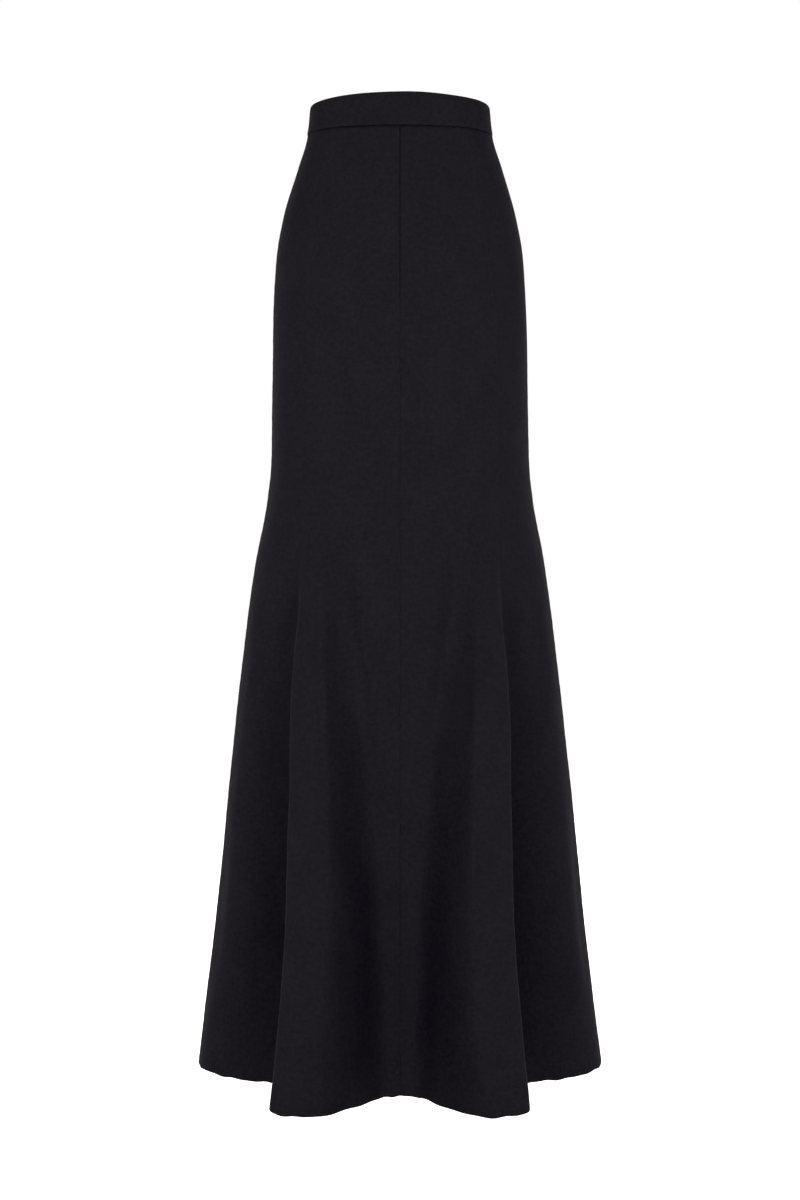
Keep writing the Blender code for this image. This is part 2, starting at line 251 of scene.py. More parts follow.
def radius(angle, z):
    """The form's radius at angles and heights given as arrays."""
    turn = np.abs(angle)
    is_front = turn <= 90
    off_centre = np.where(is_front, turn, 180 - turn)
    power = BODY["squareness"](z)
    depth = np.where(is_front, BODY["front_mm"](z), BODY["back_mm"](z))
    across = np.abs(np.sin(np.radians(off_centre))) / BODY["half_width_mm"](z)
    along = np.abs(np.cos(np.radians(off_centre))) / depth
    body = (across**power + along**power) ** (-1 / power)

    def pick(name):
        return np.where(is_front, FLUTES["front"][name](z), FLUTES["back"][name](z))

    foot, crest = pick("inner_foot") - EARLY_FOOT, pick("inner_crest") + LATE_CREST
    rise = softer_step((off_centre - foot) / (crest - foot)) ** FLUTE_LEAN
    crest, foot = pick("outer_crest"), pick("outer_foot")
    fall = smooth_step((off_centre - crest) / (foot - crest))
    away = np.abs(off_centre - VALLEY["middle"](z)) / VALLEY["half_width"](z)
    hollow = VALLEY["depth_mm"](z) * smooth_step(1 - away)
    return (body + pick("gain_mm") * rise * (1 - fall) - hollow) * MM


def form(angle, z, proud=0.0):
    reach = radius(angle, z) + proud
    turn = np.radians(angle)
    return np.stack([reach * np.sin(turn), -reach * np.cos(turn), z + 0 * reach], axis=-1)


def outward(angle, z):
    """Unit normals of the form."""
    turn, rise = 0.2, 0.5 * MM
    round_way = form(angle + turn, z) - form(angle - turn, z)
    up_way = form(angle, z + rise) - form(angle, z - rise)
    normal = np.cross(round_way, up_way)
    return normal / np.linalg.norm(normal, axis=-1, keepdims=True)


def unevenness(angle, z, seed, count=14, shortest=55.0, longest=240.0):
    """Soft waviness of about -1 to 1 over the skirt's surface, in no one direction."""
    rng = np.random.default_rng(seed)
    x = radius(angle, z) * np.sin(np.radians(angle)) * 1.6
    y = radius(angle, z) * np.cos(np.radians(angle)) * 1.6
    total = 0.0
    for _ in range(count):
        wave = rng.uniform(shortest, longest) * MM
        way = rng.normal(size=3) * (1.0, 1.0, 0.55)
        way /= np.linalg.norm(way)
        phase = rng.uniform(0, 2 * math.pi)
        total = total + np.sin(2 * math.pi / wave * (x * way[0] + y * way[1] + z * way[2]) + phase)
    return total / math.sqrt(count * 2)


def creases(angle, z):
    """How far in (metres) the listed creases push the cloth."""
    total = np.zeros(np.broadcast(angle, z).shape)
    reach = radius(angle, z)
    for row in CREASES:
        crease = dict(zip(CREASE_COLUMNS, row))
        share = (crease["top_z"] * MM - z) / ((crease["top_z"] - crease["low_z"]) * MM)
        middle = crease["top_angle"] + (crease["low_angle"] - crease["top_angle"]) * share
        fade = smooth_step(share / CREASE_FADE_IN) * smooth_step((1 - share) / CREASE_FADE_OUT)
        off = np.radians(angle - middle) * reach / (crease["half_width"] * MM)
        total += crease["depth"] * MM * fade * np.exp(-off * off)
    return total


def body_relief(angle, z):
    """Everything soft that moves a gore off the plain form, in metres outwards."""
    settle = smooth_step((WAIST_SEAM - z) / (60 * MM))
    return settle * (0.55 * MM * unevenness(angle, z, 11) - creases(angle, z))


# ---------------------------------------------------------------- mesh helpers
def place_grid(name, points, cloth_maps, mirrored=False):
    """A mesh object from a Blender grid whose vertices are moved to points[row, column]."""
    down, across = points.shape[0] - 1, points.shape[1] - 1
    bm = bmesh.new()
    bmesh.ops.create_grid(bm, x_segments=across, y_segments=down, size=0.5)
    layers = {label: bm.loops.layers.uv.new(label) for label in cloth_maps}
    bm.verts.ensure_lookup_table()
    places = {}
    for vertex in bm.verts:
        column = round((vertex.co.x + 0.5) * across)
        row = round((0.5 - vertex.co.y) * down)
        places[vertex.index] = (row, column)
        vertex.co = points[row, column]
    for face in bm.faces:
        for loop in face.loops:
            for label, values in cloth_maps.items():
                loop[layers[label]].uv = values[places[loop.vert.index]]
    if mirrored:
        bmesh.ops.reverse_faces(bm, faces=bm.faces)
    return new_object(name, bm)


def new_object(name, bm):
    mesh = bpy.data.meshes.new(name)
    bm.to_mesh(mesh)
    bm.free()
    mesh.shade_smooth()
    obj = bpy.data.objects.new(name, mesh)
    bpy.context.scene.collection.objects.link(obj)
    return obj


def add_wall(obj, thickness):
    """Thicken a sheet inwards from its outer face."""
    wall = obj.modifiers.new("wall", "SOLIDIFY")
    wall.thickness = thickness
    wall.offset = -1
    wall.use_even_offset = False


# ---------------------------------------------------------------- gores
def gore_angles(first, last, z, distances_of):
    """Angles across a gore, a row for each height, found by distance along the section."""
    share = np.linspace(0, 1, 400)
    fine = first[:, None] + (last - first)[:, None] * share
    points = form(fine, np.broadcast_to(z[:, None], fine.shape))
    steps = np.linalg.norm(np.diff(points, axis=1), axis=2)
    along = np.concatenate([np.zeros((len(z), 1)), np.cumsum(steps, axis=1)], axis=1)
    lengths = along[:, -1]
    distances = np.array([distances_of(length) for length in lengths])
    angles = np.array([np.interp(d, a, f) for d, a, f in zip(distances, along, fine)])
    return angles, distances, lengths[:, None]


def across_gore(length):
    """Distances from the first seam: its allowance, the gore itself, the other seam's allowance."""
    start = np.array(SEAM_COLUMNS_MM) * MM
    under = np.array([place for place, depth in ALLOWANCE_MM]) * MM
    middle = np.linspace(start[-1], length - start[-1], GORE_MIDDLE + 1)[1:-1]
    return np.concatenate([under, start, middle, length - start[::-1], length - under[::-1]])


def across_depth():
    """How far under the surface each of those columns lies."""
    under = np.array([depth for place, depth in ALLOWANCE_MM]) * MM
    shown = np.zeros(2 * len(SEAM_COLUMNS_MM) + GORE_MIDDLE - 1)
    return np.concatenate([under, shown, under[::-1]])


def seam_relief(distance, along, strength, seed):
    """The groove at a seam, the pressed-open allowances beside it and their slight pucker."""
    rng = np.random.default_rng(seed)
    a, b = rng.uniform(0, 6.28, 2)
    pucker = np.sin(along / PUCKER["short"] * 2 * math.pi + a)
    pucker *= np.sin(along / PUCKER["long"] * 6.28 + b)
    groove = GROOVE["height"] * np.exp(-((distance / GROOVE["reach"]) ** 2))
    roll = ROLL["height"] * np.exp(-(((distance - ROLL["off"]) / ROLL["reach"]) ** 2))
    allowance = PRESSED["height"] * smooth_step((PRESSED["off"] - distance) / PRESSED["reach"])
    drawn = PUCKER["height"] * pucker * np.exp(-((distance / PUCKER["reach"]) ** 2))
    return (groove + roll) * strength + allowance + drawn


def hem_line(angle):
    """The hem's unevenness in height, with a lift where a front flute turns back on itself."""
    lift, middle, spread_angle = HEM_LIFT
    height = lift * MM * np.exp(-(((np.abs(angle) - middle) / spread_angle) ** 2))
    for size, waves, phase in HEM_WAVES:
        height = height + size * MM * np.sin(np.radians(angle) * waves + phase)
    return height


def gore(name, seam_a, seam_b, strengths, seeds, mirrored):
    """One gore from the waist seam to its folded hem; seam_a is the one nearer the front."""
    # Where on the roll of cloth it was cut, so that no two gores show the same threads.
    on_roll = (seeds[0] % 100) * ROLL_STEP + (ROLL_HAND if mirrored else 0.0)
    heights = np.linspace(WAIST_SEAM - 0.2 * MM, HEM, GORE_ROWS)
    # The hem folds inwards: a few rows round the fold, then the turn-up.
    level = np.concatenate([heights, [HEM - drop * MM for inward, drop in HEM_FOLD_MM]])
    inward = np.concatenate([0 * heights, [inward * MM for inward, drop in HEM_FOLD_MM]])[:, None]
    surface_z = np.maximum(level, HEM)
    first, last = (np.array([seam(z) for z in surface_z]) for seam in (seam_a, seam_b))
    angles, distances, lengths = gore_angles(first, last, surface_z, across_gore)
    signed = -angles if mirrored else angles
    level = np.broadcast_to(level[:, None], angles.shape)
    surface_z = np.broadcast_to(surface_z[:, None], angles.shape)
    depth = across_depth()[None, :]
    relief = body_relief(signed, surface_z)
    on_fold = inward > 0
    seams = seam_relief(distances, level, strengths[0](level), seeds[0])
    seams = seams + seam_relief(lengths - distances, level, strengths[1](level), seeds[1])
    # Inside, the turn-up lies over the seam allowances.
    relief = relief + np.where(on_fold, np.where(depth > 0, -TURN_UP_REST, 0), seams) - depth
    near_hem = smooth_step((HEM + 60 * MM - level) / (60 * MM))
    print_line = HEM_PRINT * smooth_step((HEM + TURN_UP + 3 * MM - level) / (5 * MM))
    points = form(signed, surface_z)
    points += outward(signed, surface_z) * (relief + print_line - inward)[..., None]
    points[..., 2] += level - surface_z + near_hem * hem_line(signed)
    # On the cloth, in metres: the place on the flat cut, and the distance from the nearest seam.
    maps = {
        "cut": np.stack([distances - lengths / 2 + on_roll, level + on_roll / 3], axis=-1),
        "seam": np.stack([np.minimum(distances, lengths - distances) + depth * 20, level], axis=-1),
    }
    obj = place_grid(name, points, maps, mirrored)
    add_wall(obj, CLOTH)
    widths = lengths[:, 0] + 2 * ALLOWANCE_MM[0][0] * MM
    area = float(np.sum((widths[1:] + widths[:-1]) / 2 * np.abs(np.diff(level[:, 0]))))
    return obj, (float(widths.max()), WAIST_SEAM - HEM + TURN_UP), area


def constant(value):
    return lambda z: value + 0 * z


def centre_front_strength(z):
    """The centre front seam is heavier down to the hips, where its stitching changes."""
    return 1.0 + 0.6 * smooth_step((z + 225 * MM) / (15 * MM))


SEAMS = {
    "centre_front": (lambda z: 0.0, centre_front_strength),
    "princess_front": (lambda z: float(PRINCESS["front"](z)), constant(0.8)),
    "side": (lambda z: 90.0, constant(0.8)),
    "princess_back": (lambda z: 180.0 - float(PRINCESS["back"](z)), constant(0.8)),
    "centre_back": (lambda z: 180.0, constant(1.2)),
}
GORES = (
    ("front", "centre_front", "princess_front"),
    ("side_front", "princess_front", "side"),
    ("side_back", "side", "princess_back"),
    ("back", "princess_back", "centre_back"),
)


# ---------------------------------------------------------------- waistband
# Round the band's section from the inner lower edge up, over the fold and down the outside:
# share of the height, and millimetres out from the gores' surface.
BAND_PROFILE = (
    (0.015, -2.0), (0.0, -1.6), (0.0, -0.9), (0.012, -0.1), (0.035, 0.65), (0.07, 1.05), (0.12, 1.15),
    (0.20, 0.95), (0.35, 0.80), (0.50, 0.80), (0.65, 0.85), (0.80, 0.90), (0.90, 0.80), (0.95, 0.55),
    (0.98, 0.10), (0.995, -0.55), (1.0, -1.2), (0.992, -1.75), (0.97, -2.15), (0.90, -2.2),
    (0.60, -2.2), (0.30, -2.2), (0.08, -2.2),
)


def waistband():
    end = 180 - math.degrees(math.asin(BAND_GAP / 2 / float(radius(np.array(180.0), np.array(0.0)))))
    angles = np.linspace(-end, end, BAND_COLUMNS + 1)
    top = BAND_TOP - BAND_SIDE_DIP * np.sin(np.radians(angles)) ** 2
    top += 0.35 * MM * np.sin(np.radians(angles) * 5 + 0.4) * np.sin(np.radians(angles) * 2 + 1)
    rows, cut, seam = [], [], []
    for share, proud in reversed(BAND_PROFILE):
        z = WAIST_SEAM + (top - WAIST_SEAM) * share
        soft = 0.16 * MM * unevenness(angles, z, 5, shortest=18, longest=90)
        point = form(angles, z)
        normal = outward(angles, z)
        normal[:, 2] = 0
        point += normal * (proud * MM + soft)[:, None]
        rows.append(point)
        run = np.radians(angles) * BAND_RADIUS
        cut.append(np.stack([run, z + 0.09 * (proud < -1)], axis=-1))
        seam.append(np.stack([z - WAIST_SEAM, run], axis=-1))
    maps = {"cut": np.array(cut)[::-1], "seam": np.array(seam)[::-1]}
    # Reversed, the rows run from the inside over the top and down the outside.
    obj = place_grid("crepe_waistband", np.array(rows)[::-1], maps)
    bm = bmesh.new()
    bm.from_mesh(obj.data)
    bm.verts.ensure_lookup_table()
    rim = [e for e in bm.edges if e.is_boundary]
    along = [e for e in rim if not on_end(e, end)]
    bmesh.ops.bridge_loops(bm, edges=along)
    bmesh.ops.holes_fill(bm, edges=[e for e in bm.edges if e.is_boundary], sides=0)
    bmesh.ops.recalc_face_normals(bm, faces=bm.faces)
    bm.to_mesh(obj.data)
    bm.free()
    obj.data.shade_smooth()
    return obj


def on_end(edge, end):
    """Whether an edge of the band lies on one of its two ends at the zip."""
    return all(abs(abs(v.co.x) - BAND_GAP / 2) < 0.15 * MM and v.co.y > 0 for v in edge.verts)


# ---------------------------------------------------------------- zip
def zip_tape(name, mirrored):
    heights = np.linspace(TAPE_TOP, TAPE_BOTTOM, TAPE_ROWS)
    xs = np.linspace(ZIP_SLIT / 2 + TAPE_WIDTH, ZIP_SLIT / 2, TAPE_COLUMNS)
    rows, cut = [], []
    for z in heights:
        reach = float(radius(np.array(180.0), np.array(z)))
        angles = 180 - np.degrees(np.arcsin(xs / reach))
        level = np.full_like(angles, z)
        ripple = 0.12 * MM * np.sin(z / (23 * MM) * 6.28 + xs * 300)
        point = form(-angles if mirrored else angles, level)
        point += outward(-angles if mirrored else angles, level) * (ripple - TAPE_DEPTH)[:, None]
        rows.append(point)
        cut.append(np.stack([xs, level], axis=-1))
    obj = place_grid(name, np.array(rows), {"cut": np.array(cut)}, mirrored)
    add_wall(obj, TAPE_WALL)
    return obj


def zip_teeth():
    """The closed row of nylon teeth, inside the tapes, hooked from the left and the right in turn."""
    bm = bmesh.new()
    for k, z in enumerate(np.arange(TEETH_TOP, TAPE_BOTTOM + TOOTH_PITCH, -TOOTH_PITCH)):
        reach = float(radius(np.array(180.0), np.array(z))) - TEETH_DEPTH
        fall = float(radius(np.array(180.0), np.array(z - MM))) - TEETH_DEPTH - reach
        side = TOOTH_SIZE.x * (TOOTH_STAGGER if k % 2 else -TOOTH_STAGGER)
        place = Matrix.Translation((side, reach, z)) @ Matrix.Rotation(math.atan2(fall, MM), 4, "X")
        bmesh.ops.create_cube(bm, size=1.0, matrix=place @ Matrix.Diagonal(TOOTH_SIZE).to_4x4())
    bmesh.ops.bevel(
        bm, geom=bm.edges[:], offset=TOOTH_ROUND, segments=2, profile=0.5, affect="EDGES", material=-1
    )
    return new_object("zip_teeth", bm)


# ---------------------------------------------------------------- build
hung_sheets = []
for hand, mirrored, hand_seed in (("left", False, 0), ("right", True, 3)):
    for k, (short, a, b) in enumerate(GORES):
        cad_node = f"{short}_{hand}"
        (seam_a, strength_a), (seam_b, strength_b) = SEAMS[a], SEAMS[b]
        # The two hands' gores share the centre seams, so those are puckered alike.
        seeds = [100 + 10 * (k + j) + (hand_seed if 0 < k + j < len(GORES) else 0) for j in (0, 1)]
        strengths = (strength_a, strength_b)
        piece, flat, area = gore(f"crepe_{cad_node}", seam_a, seam_b, strengths, seeds, mirrored)
        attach(piece, "skirt")
        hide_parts(cad_node)
        hung_sheets.append((piece, flat, area))
    tape = zip_tape(f"tape_{hand}", mirrored)
    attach(tape, "skirt")
    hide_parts(f"zip_tape_{hand}")
    hung_sheets.append((tape, TAPE_CUT, None))
teeth = zip_teeth()
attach(teeth, "skirt")
band = waistband()
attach(band, "skirt")
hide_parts("waistband")


# ---------------------------------------------------------------- materials
# Colours, as light given back
DYE_DEEP, DYE_FADED = (0.0115, 0.0104, 0.0137, 1), (0.0181, 0.0160, 0.0203, 1)
THREAD_TOP = (0.0215, 0.0195, 0.0235, 1)
# Stitch thread, lighter than the cloth: partly the thread's own tone, partly a painted highlight along
# each seam
SEWING_THREAD_AND_HIGHLIGHT = (0.034, 0.031, 0.037, 1)
LINT_PALE = (0.09, 0.088, 0.085, 1)
# The tape's twill: painted shade in the grooves, painted light on the ribs
TAPE_GROOVE_SHADE, TAPE_RIB_LIGHT = (0.010, 0.0095, 0.011, 1), (0.020, 0.019, 0.022, 1)
TAPE_THREAD = (0.030, 0.029, 0.032, 1)
ENAMEL_DEEP, ENAMEL_DULL = (0.012, 0.012, 0.013, 1), (0.026, 0.025, 0.028, 1)
BARE_METAL = (0.21, 0.20, 0.195, 1)
DUST_PALE = (0.10, 0.098, 0.095, 1)
FLOOR_PAINT = ((0.90, 0.90, 0.90, 1), (0.94, 0.94, 0.94, 1))
BLACK, WHITE = (0, 0, 0, 1), (1, 1, 1, 1)
SHEEN_VIOLET = (0.92, 0.88, 1.0, 1)
# Sizes of what the materials show, in metres
CREPE_THREAD, TAPE_THREAD_SIZE = 0.00085, 0.00035
CREPE_CLOUD, ENAMEL_CLOUD, FLOOR_CLOUD = 0.0055, 0.0016, 0.05
STITCH_HIGHLIGHT_EDGE = (0.0006, 0.0016)  # the stitches and the painted highlight on the seam line fade between these distances from a seam
TWILL_TURN, TWILL_RIB = 0.0022, 0.0007  # the tape's herringbone: half its repeat, and a rib
COAT = 0.06


def principled(name):
    material = bpy.data.materials.new(name)
    material.use_nodes = True
    return material, material.node_tree, material.node_tree.nodes["Principled BSDF"]


def node(tree, kind, inputs=(), **settings):
    """One shader node; each input is a plain value or another node's output to link."""
    made = tree.nodes.new("ShaderNode" + kind)
    for key, value in settings.items():
        setattr(made, key, value)
    for key, value in dict(inputs).items():
        if isinstance(value, bpy.types.NodeSocket):
            tree.links.new(value, made.inputs[key])
        else:
            made.inputs[key].default_value = value
    return made


def on_map(tree, name):
    return node(tree, "UVMap", uv_map=name).outputs["UV"]


def sums(tree, operation, a, b=0.0, c=0.0):
    return node(tree, "Math", {0: a, 1: b, 2: c}, operation=operation).outputs[0]


def stretched(tree, place, x, y, z=1.0):
    return node(tree, "VectorMath", {0: place, 1: (x, y, z)}, operation="MULTIPLY").outputs["Vector"]


def sized(tree, place, size):
    """A place divided by a size that is itself a value on a socket."""
    inputs = {0: place, "Scale": sums(tree, "DIVIDE", 1.0, size)}
    return node(tree, "VectorMath", inputs, operation="SCALE").outputs["Vector"]


def spread(tree, value, low, high, to_low=0.0, to_high=1.0):
    """A value's range low to high brought to another range, kept inside it."""
    inputs = {"Value": value, "From Min": low, "From Max": high, "To Min": to_low, "To Max": to_high}
    return node(tree, "MapRange", inputs).outputs["Result"]


def blend(tree, factor, a, b):
    mixed = node(tree, "Mix", {"Factor": factor, "A": a, "B": b}, data_type="RGBA")
    return mixed.outputs["Result"]


def new_group(name, inputs, outputs):
    group = bpy.data.node_groups.new(name, "ShaderNodeTree")
    for label, kind, value in inputs:
        socket = group.interface.new_socket(label, in_out="INPUT", socket_type="NodeSocket" + kind)
        if value is not None:
            socket.default_value = value
    for label, kind in outputs:
        group.interface.new_socket(label, in_out="OUTPUT", socket_type="NodeSocket" + kind)
    return group, group.nodes.new("NodeGroupInput").outputs, group.nodes.new("NodeGroupOutput").inputs


def use(tree, group, **inputs):
    """Place a shared group in a material, with this material's own values."""
    made = tree.nodes.new("ShaderNodeGroup")
    made.node_tree = group
    for key, value in inputs.items():
        if isinstance(value, bpy.types.NodeSocket):
            tree.links.new(value, made.inputs[key])
        else:
            made.inputs[key].default_value = value
    return made.outputs


def thread_grain_group():
    """Crepe-twisted threads: a pebbly height, and the tone of slubs along and across the cloth."""
    group, given, gives = new_group(
        "thread_grain",
        (("Place", "Vector", None), ("Thread", "Float", 0.0008), ("Slub", "Float", 0.4)),
        (("Height", "Float"), ("Tone", "Float")),
    )
    place = sized(group, given["Place"], given["Thread"])

    def noise(x, y, detail):
        inputs = {"Vector": stretched(group, place, x, y), "Scale": 1.0, "Detail": detail}
        return node(group, "TexNoise", inputs).outputs["Fac"]

    pebbles = noise(1.0, 0.75, 2.0)
    inputs = {"Vector": stretched(group, place, 0.8, 0.6), "Scale": 1.0}
    knots = node(group, "TexVoronoi", inputs).outputs["Distance"]
    warp, weft = noise(0.75, 0.06, 1.0), noise(0.05, 0.6, 1.0)
    slubs = sums(group, "ADD", warp, weft)
    rough = sums(group, "MULTIPLY_ADD", knots, -0.45, pebbles)
    height = sums(group, "MULTIPLY_ADD", slubs, given["Slub"], rough)
    streaks = sums(group, "MULTIPLY", spread(group, slubs, 0.72, 1.28), 0.4)
    tone = sums(group, "MULTIPLY_ADD", spread(group, pebbles, 0.3, 0.7), 0.6, streaks)
    group.links.new(height, gives["Height"])
    group.links.new(tone, gives["Tone"])
    return group


def mottle_group():
    """Cloudy unevenness of dye and handling, at a small and a large size."""
    group, given, gives = new_group(
        "soft_mottle",
        (("Place", "Vector", None), ("Size", "Float", 0.02)),
        (("Tone", "Float"),),
    )
    place = sized(group, given["Place"], given["Size"])
    inputs = {"Vector": place, "Scale": 1.0, "Detail": 3.0, "Roughness": 0.6}
    small = node(group, "TexNoise", inputs).outputs["Fac"]
    inputs = {"Vector": stretched(group, place, 0.16, 0.10), "Scale": 1.0, "Detail": 2.0}
    large = node(group, "TexNoise", inputs).outputs["Fac"]
    both = sums(group, "MULTIPLY_ADD", large, 0.4, small)
    group.links.new(spread(group, both, 0.46, 0.94), gives["Tone"])
    return group


def lint_group():
    """Sparse specks of lint or dust."""
    group, given, gives = new_group(
        "lint",
        (("Place", "Vector", None), ("Spacing", "Float", 0.03), ("Speck", "Float", 0.02)),
        (("Mask", "Float"),),
    )
    place = sized(group, given["Place"], given["Spacing"])
    far = node(group, "TexVoronoi", {"Vector": place, "Scale": 1.0}).outputs["Distance"]
    near = sums(group, "SUBTRACT", 1.0, sums(group, "DIVIDE", far, given["Speck"]))
    group.links.new(sums(group, "MAXIMUM", near, 0.0), gives["Mask"])
    return group


THREAD_GRAIN, SOFT_MOTTLE, LINT = thread_grain_group(), mottle_group(), lint_group()


def bump(tree, shader, height, strength, distance):
    made = node(tree, "Bump", {"Height": height, "Strength": strength, "Distance": distance})
    tree.links.new(made.outputs["Normal"], shader.inputs["Normal"])


def stitch_highlight(tree):
    """A row of small stitch marks along a seam and the hollows between them, on the seam's own map; in
    the colour the same mask lightens the seam line as a painted highlight.
    """
    split = node(tree, "SeparateXYZ", {0: on_map(tree, "seam")}).outputs
    beside = spread(tree, split["X"], *STITCH_HIGHLIGHT_EDGE, 1.0, 0.0)
    step = sums(tree, "SINE", sums(tree, "MULTIPLY", split["Y"], 2 * math.pi / STITCH))
    return sums(tree, "MULTIPLY", beside, spread(tree, step, -0.6, 0.8))


def crepe_material():
    material, tree, shader = principled("black_crepe")
    place = on_map(tree, "cut")
    grain = use(tree, THREAD_GRAIN, Place=place, Thread=CREPE_THREAD, Slub=0.4)
    mottle = use(tree, SOFT_MOTTLE, Place=place, Size=CREPE_CLOUD)
    lint = use(tree, LINT, Place=place, Spacing=0.045, Speck=0.012)
    dyed = blend(tree, mottle["Tone"], DYE_DEEP, DYE_FADED)
    thread = blend(tree, sums(tree, "MULTIPLY", grain["Tone"], 0.4), dyed, THREAD_TOP)
    stitch_highlight_mask = stitch_highlight(tree)
    # The seam line is lightened towards the stitch thread's colour: a painted highlight along each
    # seam, partly the thread's own tone
    sewn_and_highlit = blend(tree, sums(tree, "MULTIPLY", stitch_highlight_mask, 0.28), thread, SEWING_THREAD_AND_HIGHLIGHT)
    speckled = blend(tree, sums(tree, "MULTIPLY", lint["Mask"], 0.5), sewn_and_highlit, LINT_PALE)
    tree.links.new(speckled, shader.inputs["Base Color"])
    tree.links.new(spread(tree, grain["Tone"], 0.2, 0.8, 0.92, 0.78), shader.inputs["Roughness"])
    shader.inputs["Specular IOR Level"].default_value = 0.08
    shader.inputs["Sheen Weight"].default_value = 0.012
    shader.inputs["Sheen Roughness"].default_value = 0.45
    shader.inputs["Sheen Tint"].default_value = SHEEN_VIOLET
    height = sums(tree, "MULTIPLY_ADD", stitch_highlight_mask, 0.6, grain["Height"])
    bump(tree, shader, height, 0.6, 0.0004)
    return material


def tape_material():
    """Woven zip tape: a small herringbone twill in black polyester, with painted shade in its grooves
    and painted light on its ribs.
    """
    material, tree, shader = principled("black_zip_tape")
    place = on_map(tree, "cut")
    split = node(tree, "SeparateXYZ", {0: place}).outputs
    bend = sums(tree, "PINGPONG", split["X"], TWILL_TURN)
    slope = sums(tree, "ADD", bend, split["Y"])
    ribs = sums(tree, "SINE", sums(tree, "MULTIPLY", slope, 2 * math.pi / TWILL_RIB))
    grain = use(tree, THREAD_GRAIN, Place=place, Thread=TAPE_THREAD_SIZE, Slub=0.2)
    lint = use(tree, LINT, Place=place, Spacing=0.02, Speck=0.03)
    # Painted shade in the twill's grooves and painted light on its ribs, following the ribs that the
    # bump raises
    woven_shade_and_light = blend(tree, spread(tree, ribs, -1, 1), TAPE_GROOVE_SHADE, TAPE_RIB_LIGHT)
    tone = blend(tree, sums(tree, "MULTIPLY", grain["Tone"], 0.3), woven_shade_and_light, TAPE_THREAD)
    speckled = blend(tree, sums(tree, "MULTIPLY", lint["Mask"], 0.5), tone, LINT_PALE)
    tree.links.new(speckled, shader.inputs["Base Color"])
    tree.links.new(spread(tree, ribs, -1, 1, 0.7, 0.5), shader.inputs["Roughness"])
    shader.inputs["Specular IOR Level"].default_value = 0.15
    shader.inputs["Sheen Weight"].default_value = 0.02
    height = sums(tree, "MULTIPLY_ADD", ribs, 0.5, grain["Height"])
    bump(tree, shader, height, 0.4, 0.0002)
    return material


def enamel_material():
    """Black enamelled metal, rubbed to the metal in small places and lightly scratched."""
    material, tree, shader = principled("black_zip_metal")
    place = node(tree, "TexCoord").outputs["Object"]
    mottle = use(tree, SOFT_MOTTLE, Place=place, Size=ENAMEL_CLOUD)
    dust = use(tree, LINT, Place=place, Spacing=0.002, Speck=0.12)
    inputs = {"Vector": stretched(tree, place, 900, 5200, 380), "Scale": 1.0, "Detail": 3.0}
    scratch = spread(tree, node(tree, "TexNoise", inputs).outputs["Fac"], 0.60, 0.72)
    inputs = {"Vector": place, "Scale": 900.0, "Detail": 4.0, "Roughness": 0.7}
    chips = spread(tree, node(tree, "TexNoise", inputs).outputs["Fac"], 0.64, 0.67)
    painted = blend(tree, mottle["Tone"], ENAMEL_DEEP, ENAMEL_DULL)
    rubbed = blend(tree, chips, painted, BARE_METAL)
    dusty = blend(tree, sums(tree, "MULTIPLY", dust["Mask"], 0.3), rubbed, DUST_PALE)
    tree.links.new(dusty, shader.inputs["Base Color"])
    tree.links.new(chips, shader.inputs["Metallic"])
    rough = sums(tree, "MULTIPLY_ADD", scratch, 0.25, spread(tree, mottle["Tone"], 0, 1, 0.42, 0.55))
    tree.links.new(rough, shader.inputs["Roughness"])
    coat = sums(tree, "SUBTRACT", COAT, sums(tree, "MULTIPLY", chips, COAT))
    tree.links.new(coat, shader.inputs["Coat Weight"])
    shader.inputs["Coat Roughness"].default_value = 0.3
    shader.inputs["Specular IOR Level"].default_value = 0.2
    height = sums(tree, "MULTIPLY_ADD", chips, -0.6, sums(tree, "MULTIPLY", scratch, -0.2))
    bump(tree, shader, height, 0.3, 0.00005)
    return material


crepe, tape_cloth, enamel = crepe_material(), tape_material(), enamel_material()
for piece, flat, area in hung_sheets:
    piece.data.materials.append(tape_cloth if flat == TAPE_CUT else crepe)
band.data.materials.append(crepe)
teeth.data.materials.append(enamel)
for name in ("zip_slider", "zip_pull_tab"):
    hard = bpy.data.objects[name]
    hard.data.materials.clear()
    hard.data.materials.append(enamel)

# ---------------------------------------------------------------- studio
# Soft boxes: name, place, what it points at, size, watts. A pair is one on each side.
SINGLE_LIGHTS = (
    ("key_high", (0.0, -1.95, 1.7), (0, 0, -0.6), (1.5, 1.1), 13.5),
    ("back", (0.0, 2.95, 0.5), (0, 0, -0.6), (1.5, 1.5), 42.0),
    ("overhead", (0.0, 0.15, 1.6), (0, 0, 0), (0.8, 0.8), 10.0),
)
PAIRED_LIGHTS = (
    ("front_side", (1.35, -2.6, 0.0), (0, 0, -0.6), (1.1, 1.3), (22.4, 23.2)),
    ("low_front", (0.75, -1.3, -0.3), (0, 0, -0.45), (0.5, 0.6), (3.5, 3.5)),
    ("side", (2.95, 0.3, -0.2), (0, 0, -0.6), (1.1, 1.3), (23.5, 23.5)),
    ("back_side", (1.9, 2.3, -0.2), (0, 0, -0.6), (1.1, 1.3), (10.0, 10.0)),
)
# The surroundings' light: none from the front, and this much from the back
SURROUND = {"From Min": 0.0, "From Max": 0.7, "To Min": 0.0, "To Max": 0.2}
CAMERA_PLACE = (0.0, -2.62, -0.4673)
CAMERA_LENS = 63.0
CAMERA_LOOKS_DOWN = 2.726  # degrees


def area_light(name, place, target, size, power):
    light = bpy.data.lights.new(name, "AREA")
    light.shape = "RECTANGLE"
    light.size, light.size_y = size
    light.energy = power
    obj = bpy.data.objects.new(name, light)
    obj.location = place
    obj.rotation_euler = (Vector(target) - Vector(place)).to_track_quat("-Z", "Y").to_euler()
    bpy.context.scene.collection.objects.link(obj)


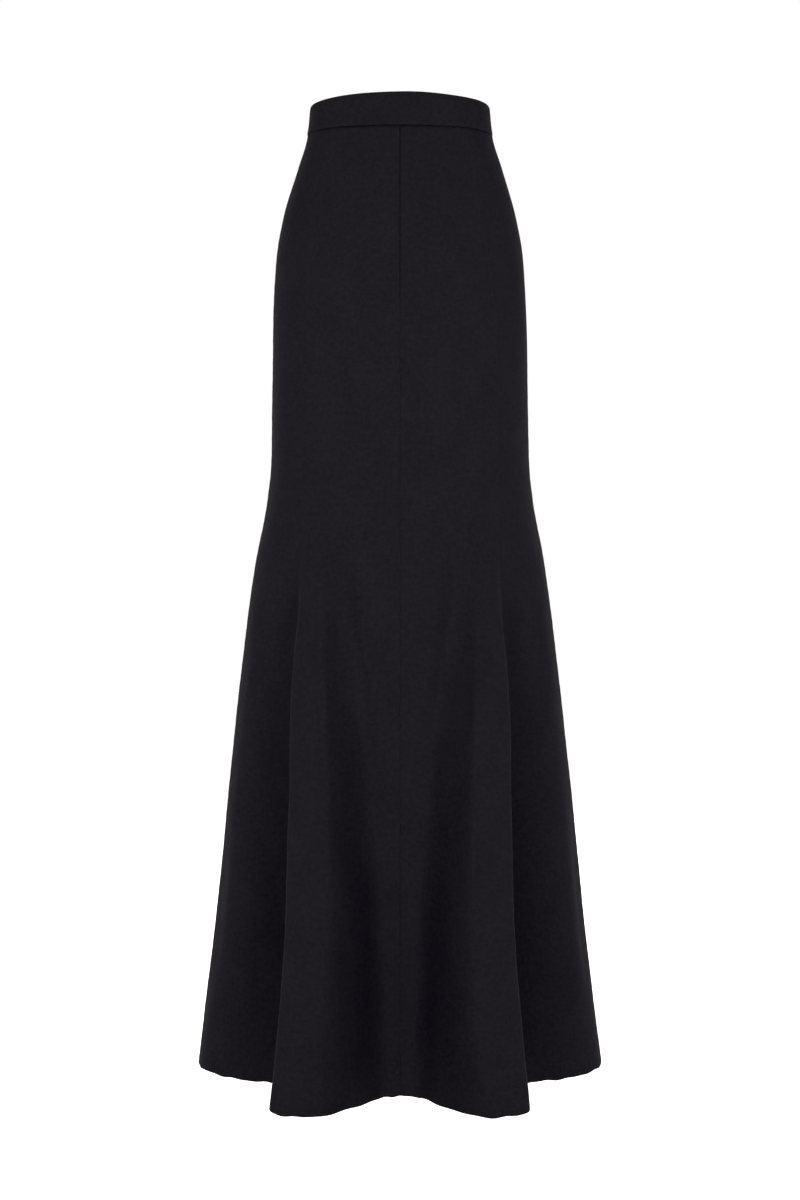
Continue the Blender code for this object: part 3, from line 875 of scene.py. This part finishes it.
def studio_world():
    """White all round to the eye; as light, bright from the sides and the back and dim in front."""
    world = bpy.data.worlds.new("studio")
    world.use_nodes = True
    tree = world.node_tree
    background = tree.nodes["Background"]
    background.inputs["Color"].default_value = WHITE
    split = node(tree, "SeparateXYZ", {0: node(tree, "TexCoord").outputs["Generated"]}).outputs
    ramp = node(tree, "MapRange", {"Value": split["Y"], **SURROUND}, interpolation_type="SMOOTHSTEP")
    seen = node(tree, "LightPath").outputs["Is Camera Ray"]
    choose = node(tree, "Mix", {"Factor": seen, "A": ramp.outputs["Result"], "B": 1.0})
    tree.links.new(choose.outputs["Result"], background.inputs["Strength"])
    return world


def floor_material():
    """Pale studio floor, faintly clouded; it glows to the eye only, so it lights nothing."""
    pale, tree, shader = principled("pale_floor")
    place = node(tree, "TexCoord").outputs["Object"]
    mottle = use(tree, SOFT_MOTTLE, Place=place, Size=FLOOR_CLOUD)
    paint = blend(tree, mottle["Tone"], *FLOOR_PAINT)
    tree.links.new(paint, shader.inputs["Base Color"])
    shader.inputs["Roughness"].default_value = 0.9
    seen = node(tree, "LightPath").outputs["Is Camera Ray"]
    tree.links.new(blend(tree, seen, BLACK, WHITE), shader.inputs["Emission Color"])
    shader.inputs["Emission Strength"].default_value = FLOOR_GLOW
    return pale


def studio_floor():
    bm = bmesh.new()
    bmesh.ops.create_grid(bm, x_segments=1, y_segments=1, size=FLOOR_REACH)
    bmesh.ops.translate(bm, vec=(0, 0, FLOOR_LEVEL), verts=bm.verts)
    floor = new_object("floor", bm)
    floor.data.materials.append(floor_material())


def studio():
    scene = bpy.context.scene
    scene.view_settings.view_transform = "Standard"
    scene.view_settings.use_curve_mapping = True
    scene.view_settings.curve_mapping.black_level = (BLACK_POINT,) * 3
    scene.world = studio_world()
    for light in SINGLE_LIGHTS:
        area_light(*light)
    for name, (across, along, up), target, size, powers in PAIRED_LIGHTS:
        for side, power in zip((1, -1), powers):
            area_light(name, (across * side, along, up), target, size, power)
    studio_floor()
    camera = bpy.data.cameras.new("camera")
    camera.lens = CAMERA_LENS
    camera.sensor_width = 36.0
    view = bpy.data.objects.new("camera", camera)
    view.location = CAMERA_PLACE
    view.rotation_euler = (math.radians(90 - CAMERA_LOOKS_DOWN), 0, 0)
    scene.collection.objects.link(view)
    scene.camera = view


studio()
